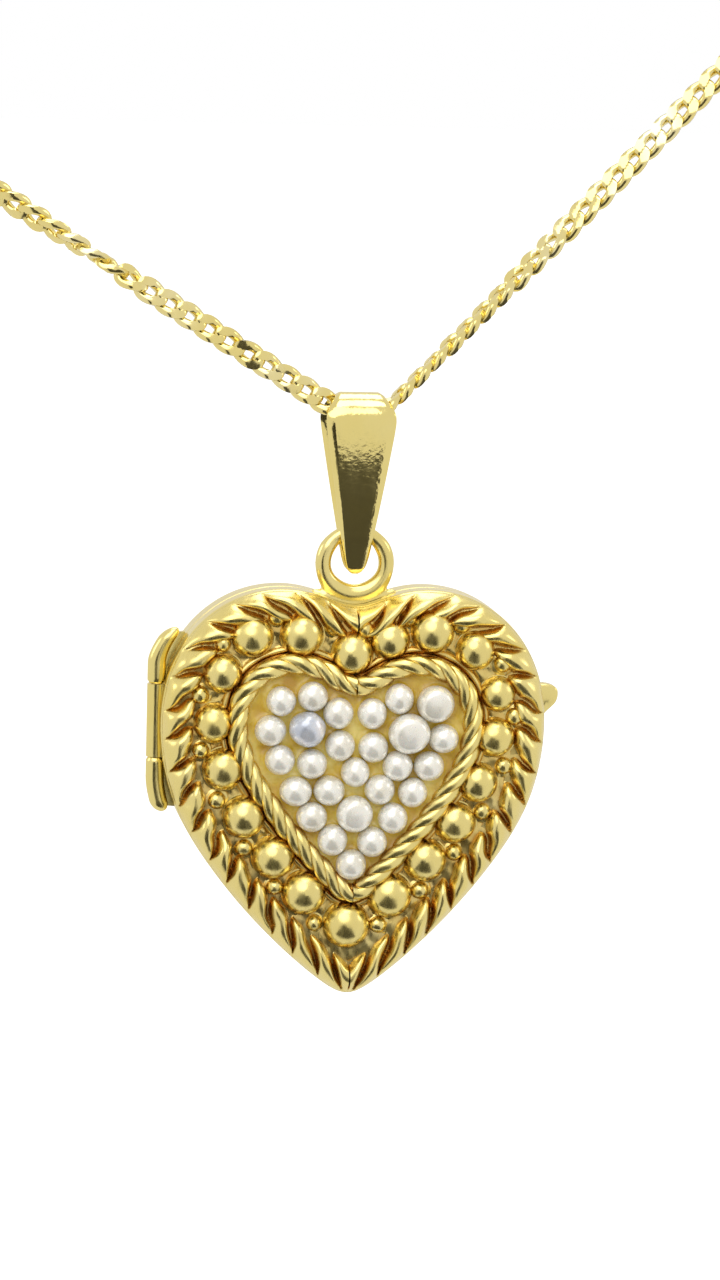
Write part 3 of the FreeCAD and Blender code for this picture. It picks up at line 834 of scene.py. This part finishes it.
def make_beads(node, name, foot, lumpy, fullness):
    """Cast beads, each a little out of round, where the CAD has them."""
    built = Builder()
    random = np.random.default_rng(11)
    for middle, half in separate_solids(node):
        radius = half[[0, 2]].max() * fullness
        verts, faces = dome(radius, foot)
        verts = verts * (1 + random.normal(0, lumpy, 3))
        verts *= 1 + lumpy * bumps(verts, radius, middle[0])[:, None]
        built.add(verts + (middle[0], COVER_FACE - BEAD_SINK, middle[2]), faces)
    beads = add_object(name, built.verts, built.faces, "locket_cover", BEAD_GOLD)
    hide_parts(node)


# ---------------------------------------------------------------- pearls and their cement

PEARL_DETAIL = 4
PEARL_FULLNESS = 1.06
PEARL_PLAY = 0.02
# How much of a flat-worn pearl's front is left past the place where it flattens.
WORN_SHARE = 0.3
BED_LEVEL = -1.9
BED_WAVES = 0.06
BED_MIDDLE = (0, -1.0)
BED_STEPS = 220
BED_RINGS = 46
CREEP = 0.2
CREEP_RINGS = 1.6
MENISCUS = 0.42
MENISCUS_REACH = 0.2


def unit_ball():
    """Points and faces of a fine ball of radius 1."""
    work = bmesh.new()
    bmesh.ops.create_icosphere(work, subdivisions=PEARL_DETAIL, radius=1)
    verts = np.array([v.co for v in work.verts])
    faces = [[v.index for v in f.verts] for f in work.faces]
    work.free()
    return verts, faces


def make_pearls(node, name, material, flat, lumpy, seed):
    """Seed pearls, each a little out of round, and some of them worn flat in front."""
    ball, faces = unit_ball()
    built = Builder()
    random = np.random.default_rng(seed)
    for middle, half in separate_solids(node):
        radius = half.mean() * PEARL_FULLNESS
        verts = ball * (1 + random.normal(0, PEARL_PLAY, 3))
        verts = verts * (1 + lumpy * bumps(verts, 0.9, middle[0] + middle[2]))[:, None]
        if flat:
            limit = -random.uniform(*flat)
            over = verts[:, 1] < limit
            verts[over, 1] = limit + (verts[over, 1] - limit) * WORN_SHARE
        built.add(middle + radius * verts, faces)
    pearls = add_object(name, built.verts, built.faces, "locket_cover", material)
    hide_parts(node)


def make_pearl_bed():
    """Cement that creeps up round each pearl and up the twisted border."""
    pearls = [(m, h.mean()) for n in ("small_pearls", "large_pearls", "grey_pearl")
              for m, h in separate_solids(n)]
    edge = heart_loop(ROPE_HALF, ROPE_HALF_WIDTH - 0.15, BED_STEPS)
    rings = [loop_at(edge, TRAY_FLOOR)]
    for k in range(BED_RINGS):
        loop = shrink(edge, BED_MIDDLE, 1 - k / (BED_RINGS - 0.5))
        ring = loop_at(loop, BED_LEVEL)
        heap = np.zeros(len(loop))
        for middle, radius in pearls:
            gap = np.linalg.norm(loop - middle[[0, 2]], axis=1) - radius * 0.8
            heap = np.maximum(heap, MENISCUS * np.exp(-np.maximum(gap, 0) / MENISCUS_REACH))
        creep = CREEP * math.exp(-k / CREEP_RINGS)
        ring[:, 1] -= creep + heap + bumps(ring, 0.6, 4) * BED_WAVES
        rings.append(ring)
    verts, faces = ring_stack(rings)
    bed = add_object("cement_bed", verts, faces, "locket_cover", CEMENT)
    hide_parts("pearl_bed")


# ---------------------------------------------------------------- bail and ring

BAIL_TOP = 18.35
BAIL_FOLD = 1.5
BAIL_SEAT = 0.6
BAIL_SHEET = 0.3
BAIL_TIP = (8.95, 0.45)
SWING_Z = 10.82
# Half width of the strap at heights up it.
BAIL_WIDTH = np.array([
    (8.5, 0.06), (8.53, 0.22), (8.6, 0.36), (8.75, 0.5), (9.0, 0.61), (9.4, 0.71),
    (16.2, 1.82), (16.8, 1.9), (17.3, 1.88), (17.8, 1.68), (18.15, 1.44), (18.4, 1.3),
])
# Columns across the strap's outside, as shares of its half width, and their bevels.
BAIL_ACROSS = (-1, -0.985, -0.8, -0.75, -0.4, 0, 0.4, 0.75, 0.8, 0.985, 1)
BAIL_BEVEL = (0.2, 0.15, 0.012, 0.0, 0.0, 0.0, 0.0, 0.0, 0.012, 0.15, 0.2)
BAIL_INSIDE = (0.8, 0.4, 0, -0.4, -0.8)
BAIL_STEPS = 132
BAIL_BELLY = 0.16
BAIL_EDGE = 0.05
BAIL_EDGE_ANGLE = math.radians(35)
HULL_STEPS = 721


def hull_outline(circles):
    """The tight outline round circles (z, radius) on the Z axis, as (y, z), from its top, even."""
    turns = np.linspace(0, 2 * math.pi, HULL_STEPS)
    ways = np.stack([np.sin(turns), np.cos(turns)], axis=1)
    pick = np.argmax([[z * w[1] + r for z, r in circles] for w in ways], axis=1)
    points = np.array([[circles[k][1] * w[0], circles[k][0] + circles[k][1] * w[1]]
                       for k, w in zip(pick, ways)])
    return evenly(points, BAIL_STEPS + 1)[:-1]


def make_bail():
    """The folded strap, with bevelled sides, a slight belly and a rounded tip."""
    fold_z = BAIL_TOP - BAIL_FOLD
    outer = hull_outline([(fold_z, BAIL_FOLD), (SWING_Z, BAIL_SEAT + BAIL_SHEET), BAIL_TIP])
    inner = hull_outline([(fold_z, BAIL_FOLD - BAIL_SHEET), (SWING_Z, BAIL_SEAT)])
    middle_z = (fold_z + SWING_Z) / 2
    span = (fold_z - SWING_Z) / 2
    belly = BAIL_BELLY * np.clip(1 - ((outer[:, 1] - middle_z) / span) ** 2, 0, 1)
    outer[:, 0] += np.sign(outer[:, 0]) * belly
    normal = np.roll(outer, -1, axis=0) - np.roll(outer, 1, axis=0)
    normal /= np.linalg.norm(normal, axis=1)[:, None]
    normal = np.stack([-normal[:, 1], normal[:, 0]], axis=1)
    half, half_in = (np.interp(line[:, 1], *BAIL_WIDTH.T) for line in (outer, inner))
    columns = []
    for share, bevel in zip(BAIL_ACROSS, BAIL_BEVEL):
        line = outer - normal * bevel
        columns.append(np.stack([half * share, line[:, 0], line[:, 1]], axis=1))
    for share in BAIL_INSIDE:
        columns.append(np.stack([half_in * share, inner[:, 0], inner[:, 1]], axis=1))
    verts = np.stack(columns, axis=1).reshape(-1, 3)
    faces = grid_faces(BAIL_STEPS, len(columns), wrap_rows=True, wrap_columns=True)
    bail = add_object("bail_strap", verts, faces, "bail", BRIGHT)
    edge = bail.modifiers.new("edge", "BEVEL")
    edge.width = BAIL_EDGE * MM
    edge.segments = 2
    edge.limit_method = "ANGLE"
    edge.angle_limit = BAIL_EDGE_ANGLE
    edge.harden_normals = False
    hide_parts("bail")


RING_Z = 9.1
RING_RADIUS = 1.72
RING_WIRE = 0.44
RING_SLIMMER = 0.05
RING_THICKER = 0.3
RING_AROUND, RING_SECTION = 96, 20
RING_VOXEL = 0.06
SADDLE_HALF = 2.3
SADDLE_END = 2.5
SADDLE_STEPS, SADDLE_AROUND = 60, 16
SADDLE_SWELL = 0.52
SADDLE_DEPTH = 0.42
SADDLE_HEIGHT = 0.75


def make_hanging_ring():
    """A cast ring whose foot spreads along the notch, merged into one smooth form."""
    built = Builder()
    turns = around_circle(RING_AROUND)
    # Slimmer at the top, so the strap of the bail clears it through the whole swing.
    wire = RING_WIRE - RING_SLIMMER * smooth_step(np.sin(turns), 0.45, 0.8)
    thick = wire * (1 + RING_THICKER * smooth_step(-np.sin(turns), 0.2, 1.0))
    torus = []
    for angle in around_circle(RING_SECTION):
        reach = RING_RADIUS + thick * math.cos(angle)
        torus.append(np.stack([reach * np.cos(turns), wire * math.sin(angle),
                               RING_Z + reach * np.sin(turns)], axis=1))
    built.add(np.stack(torus, axis=1).reshape(-1, 3),
              grid_faces(RING_AROUND, RING_SECTION, wrap_rows=True, wrap_columns=True))

    notch = half_line(BODY_HALF, 0.05, 200)[:SADDLE_STEPS]
    x = np.linspace(-SADDLE_HALF, SADDLE_HALF, SADDLE_STEPS)
    z = np.interp(np.abs(x), *notch.T)
    swell = SADDLE_SWELL * np.sqrt(np.clip(1 - (np.abs(x) / SADDLE_END) ** 2.2, 0.01, 1))
    saddle = [np.stack([x, SADDLE_DEPTH * swell / SADDLE_SWELL * math.sin(angle),
                        z + 0.02 + swell * SADDLE_HEIGHT * math.cos(angle)], axis=1)
              for angle in around_circle(SADDLE_AROUND)]
    count = SADDLE_STEPS * SADDLE_AROUND
    faces = grid_faces(SADDLE_STEPS, SADDLE_AROUND, wrap_columns=True)
    faces += [tuple(range(SADDLE_AROUND - 1, -1, -1)), tuple(range(count - SADDLE_AROUND, count))]
    built.add(np.stack(saddle, axis=1).reshape(-1, 3), faces)

    ring = add_object("cast_hanging_ring", built.verts, built.faces, "locket_back", POLISHED)
    merge = ring.modifiers.new("merge", "REMESH")
    merge.mode = "VOXEL"
    merge.voxel_size = RING_VOXEL * MM
    merge.use_smooth_shade = True
    settle = ring.modifiers.new("settle", "CORRECTIVE_SMOOTH")
    settle.factor = 0.6
    settle.iterations = 12
    settle.use_only_smooth = True
    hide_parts("hanging_ring")


# ---------------------------------------------------------------- hinge and thumb tab

KNUCKLE_RADIUS = 0.5
KNUCKLE_DEPTH_SHARE = 0.98
KNUCKLE_LEAN_RUN = 1.9
KNUCKLE_ROUNDING = 0.6
KNUCKLE_RINGS = 40
KNUCKLE_SIDES = 28
SEAM_CHAMFER = 0.09
CHAMFER_DEPTH = 0.1
PLATE_FRONT = 0.45
PIN_LOW, PIN_HIGH = -3.9, 4.3
PIN_RADIUS = 0.25
PIN_END_RINGS = 5
TAB_Z = 1.9
TAB_STEPS = 48
TAB_FIN = [(10.0, 0.62), (10.5, 0.62), (11.0, 0.56), (11.34, 0.36), (11.4, 0.0),
           (11.3, -0.36), (11.05, -0.65), (10.76, -0.92), (10.5, -1.22), (9.9, -1.55)]
# The tab's layers, as depth and inset of its outline.
TAB_LAYERS = [(0.1, 0.14), (0.13, 0.05), (0.22, 0.0), (1.0, 0.0), (1.11, 0.05), (1.14, 0.14)]


def barrel_ring(radius, z, lean=0.0, depth_share=1.0):
    """A ring of points round the hinge's axis, at a height, moved towards the heart by lean."""
    turns = around_circle(KNUCKLE_SIDES)
    return np.stack([HINGE_X + lean + radius * np.cos(turns),
                     radius * depth_share * np.sin(turns), np.full(KNUCKLE_SIDES, z)], axis=1)


def make_end_knuckle(name, node, start, end, lean_by):
    """An end stretch of the barrel, which leans in to the heart's edge, with its plate."""
    built = Builder()
    way = math.copysign(1, end - start)
    rings = []
    for share in np.linspace(0, 1, KNUCKLE_RINGS) ** 0.8:
        z = start + (end - start) * share
        left = abs(end - z)
        leaning = np.clip(1 - left / KNUCKLE_LEAN_RUN, 0, 1)
        rounded = np.clip(1 - left / KNUCKLE_ROUNDING, 0, 0.995)
        chamfer = CHAMFER_DEPTH * np.clip(1 - abs(z - start) / SEAM_CHAMFER, 0, 1)
        radius = KNUCKLE_RADIUS * math.sqrt(1 - rounded**2) - chamfer
        rings.append(barrel_ring(radius, z, lean_by * leaning**1.6, KNUCKLE_DEPTH_SHARE))
    built.add(*ring_stack(rings))
    outline = [(HINGE_X + 0.1, start), (HINGE_X + 0.1 + lean_by * 0.3, end - way * 0.9),
               (HINGE_X + 0.75, end - way * 0.3), (HINGE_X + 1.5, end - way * 0.25),
               (HINGE_X + 1.5, end - way * 0.9), (HINGE_X + 0.7, start)]
    plate = [np.array([(x, y, z) for x, z in outline]) for y in (SEAM, PLATE_FRONT)]
    built.add(*ring_stack(plate))
    knuckle = add_object(name, built.verts, built.faces, "locket_back", POLISHED)
    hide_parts(node)


def make_hinge_pin():
    """The drawn steel pin, with rounded ends that stay inside the outer knuckles."""
    angles = np.linspace(0.15, math.pi / 2, PIN_END_RINGS)
    profile = [(PIN_RADIUS * math.sin(a), PIN_LOW + PIN_RADIUS * (1 - math.cos(a))) for a in angles]
    profile += [(r, PIN_LOW + PIN_HIGH - z) for r, z in profile[::-1]]
    verts, faces = ring_stack([barrel_ring(r, z) for r, z in profile])
    pin = add_object("drawn_hinge_pin", verts, faces, "locket_back", STEEL)
    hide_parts("hinge_pin")


def make_thumb_tab():
    """The fin-shaped tab beside the seam, with its front and back edges rounded over."""
    outline = spline(TAB_FIN, TAB_STEPS)[0] + (0, TAB_Z)
    out = outline - outline.mean(axis=0)
    out /= np.linalg.norm(out, axis=1)[:, None]
    layers = [loop_at(outline - out * inset, depth) for depth, inset in TAB_LAYERS]
    verts, faces = ring_stack(layers)
    tab = add_object("thumb_fin", verts, faces, "locket_back", POLISHED)
    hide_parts("thumb_tab")


def finish_cad_nodes():
    """Better finishes on the CAD parts whose shapes are already right."""
    finishes = {
        POLISHED: ["hinge_knuckle_middle", "back_photo_frame", "front_photo_frame", "catch_tongue"],
        CHAIN_GOLD: ["chain_tag", "clasp_jump_ring", "clasp_body", "clasp_bolt"],
        STEEL: ["clasp_spring"],
        WINDOW: ["front_window", "back_window"],
    }
    for material, names in finishes.items():
        for name in names:
            data = NODES[name].data
            data.materials.clear()
            data.materials.append(material)


make_front_cover()
make_back_shell()
make_leaf_border()
make_rope_border()
make_beads("large_beads", "dome_beads", 0.12, 0.015, 1.12)
make_beads("small_beads", "seed_beads", 0.4, 0.05, 1.35)
make_pearls("small_pearls", "seed_pearls", WHITE, None, 0.03, 3)
make_pearls("large_pearls", "button_pearls", WHITE, (0.72, 0.82), 0.02, 5)
make_pearls("grey_pearl", "grey_seed_pearl", GREY, None, 0.09, 7)
make_pearl_bed()
make_bail()
make_hanging_ring()
make_end_knuckle("hinge_end_top", "hinge_knuckle_top", 2.52, 5.55, 0.95)
make_end_knuckle("hinge_end_bottom", "hinge_knuckle_bottom", -1.52, -4.52, 0.4)
make_hinge_pin()
make_thumb_tab()
finish_cad_nodes()

# ---------------------------------------------------------------- light, floor and finish

FLOOR_Z = -75.0
FLOOR_HALF = 2500
FLOOR_GLOW = 0.45
PALE = (0.93, 0.93, 0.93)
DARK = (0.03, 0.028, 0.02)
ROOM_LIGHT = 0.82
ROOM_COLOUR = (1, 0.985, 0.95, 1)
SOFT_LIGHTS = [
    # name, azimuth, elevation, distance, size, strength
    ("front_soft", -20, 42, 320, 300, 1.45),
    ("top_soft", 10, 78, 300, 160, 2.3),
    ("back_soft", 170, 62, 320, 180, 2.2),
    ("left_soft", -95, 20, 320, 120, 1.6),
    ("right_soft", 80, 25, 320, 120, 1.6),
]
# Dark cloths, one lying in front of the object and one standing below the lens, which are seen
# only in the object's reflections.
DARK_CLOTHS = {
    "lying_cloth": [(-32, -14, -38), (20, -14, -38), (70, -240, -38), (-140, -240, -38)],
    "standing_cloth": [(-140, -215, -40), (-8, -240, -40), (-22, -240, 14), (-100, -215, 14)],
}


def direction(azimuth, elevation):
    """The way out from the object at an azimuth and an elevation in degrees."""
    a, e = math.radians(azimuth), math.radians(elevation)
    return Vector((math.sin(a) * math.cos(e), -math.cos(a) * math.cos(e), math.sin(e)))


def make_lights():
    target = Vector(to_row((0, 0, 0)))
    for name, azimuth, elevation, distance, size, strength in SOFT_LIGHTS:
        data = bpy.data.lights.new(name, "AREA")
        data.shape = "DISK"
        data.size = size * MM
        area = math.pi * (size * MM / 2) ** 2
        data.energy = strength * area * math.pi
        light = bpy.data.objects.new(name, data)
        bpy.context.scene.collection.objects.link(light)
        way = direction(azimuth, elevation)
        light.location = target + way * distance * MM
        light.rotation_mode = "QUATERNION"
        light.rotation_quaternion = way.to_track_quat("Z", "Y")


def plain_material(name, colour, roughness, glow=0.0):
    """A matt material with a faint unevenness, which can glow a little."""
    finish = Finish(name)
    tones = (colour, tuple(c * 0.97 for c in colour))
    finish.paint(finish.ramp(finish.noise(12.0), tones, places=ENDS))
    set_inputs(finish.shader, {"Roughness": roughness})
    if glow:
        set_inputs(finish.shader, {"Emission Color": (1, 1, 1, 1), "Emission Strength": glow})
    return finish.material


def make_panel(name, corners, material, unseen):
    """A flat four-cornered piece of the studio, hidden from the named kinds of ray."""
    mesh = bpy.data.meshes.new(name)
    mesh.from_pydata(to_row(corners).tolist(), [], [(0, 1, 2, 3)])
    mesh.materials.append(material)
    panel = bpy.data.objects.new(name, mesh)
    bpy.context.scene.collection.objects.link(panel)
    for kind in unseen:
        setattr(panel, "visible_" + kind, False)


def make_stage():
    corners = [(x, y, FLOOR_Z + HOLD_HEIGHT) for x, y in (
        (-FLOOR_HALF, -FLOOR_HALF), (FLOOR_HALF, -FLOOR_HALF),
        (FLOOR_HALF, FLOOR_HALF), (-FLOOR_HALF, FLOOR_HALF))]
    pale = plain_material("pale_floor", PALE, 0.9, glow=FLOOR_GLOW)
    make_panel("floor", corners, pale, unseen=("diffuse", "glossy"))
    dark = plain_material("dark_cloth", DARK, 0.8)
    for name, corners in DARK_CLOTHS.items():
        make_panel(name, corners, dark, unseen=("camera", "diffuse", "shadow", "transmission"))


def make_world():
    """A soft, even room, with a white backdrop behind the object."""
    world = bpy.data.worlds.new("studio")
    bpy.context.scene.world = world
    world.use_nodes = True
    nodes = world.node_tree.nodes
    join = world.node_tree.links.new
    backdrop = nodes["Background"]
    set_inputs(backdrop, {"Color": (1, 1, 1, 1), "Strength": 1.0})
    room = nodes.new("ShaderNodeBackground")
    set_inputs(room, {"Color": ROOM_COLOUR, "Strength": ROOM_LIGHT})
    seen = nodes.new("ShaderNodeLightPath")
    mixed = nodes.new("ShaderNodeMixShader")
    join(seen.outputs["Is Camera Ray"], mixed.inputs["Fac"])
    join(room.outputs["Background"], mixed.inputs[1])
    join(backdrop.outputs["Background"], mixed.inputs[2])
    join(mixed.outputs["Shader"], nodes["World Output"].inputs["Surface"])
    bpy.context.scene.view_settings.view_transform = "Standard"


make_lights()
make_stage()
make_world()
